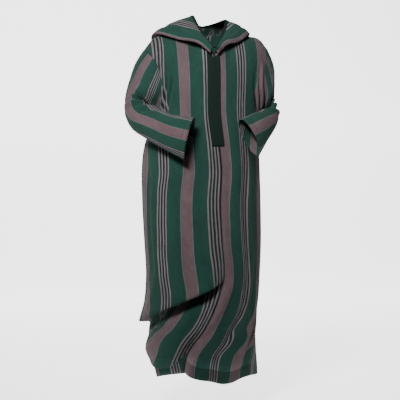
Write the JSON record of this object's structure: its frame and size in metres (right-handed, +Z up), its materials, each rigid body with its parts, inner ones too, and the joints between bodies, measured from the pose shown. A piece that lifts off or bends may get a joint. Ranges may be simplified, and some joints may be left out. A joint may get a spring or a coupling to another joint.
{
  "type": "hooded kaftan",
  "caption": "Hooded full-length robe in its worn form: striped cloth, open V neck with a dark placket, bent sleeves with open cuffs, hood laid back, skirt swept over at the knee.",
  "frame": {"origin": "neck base, where the wearer's shoulders carry the robe", "axes": "+Z up, the front faces -Y, the wearer's right sleeve is at -X"},
  "size_m": [0.615, 0.4495, 1.4489],
  "materials": {
    "striped_cloth": "matt woven cloth, bottle green with mauve-brown and grey warp stripes",
    "braid": "matt dark green braid"
  },
  "bodies": {
    "root": {"front_right": "striped_cloth", "front_left": "striped_cloth", "back": "striped_cloth", "sleeve_right": "striped_cloth", "sleeve_left": "striped_cloth", "hood_right": "striped_cloth", "hood_left": "striped_cloth", "placket": "braid"}
  },
  "joints": []
}
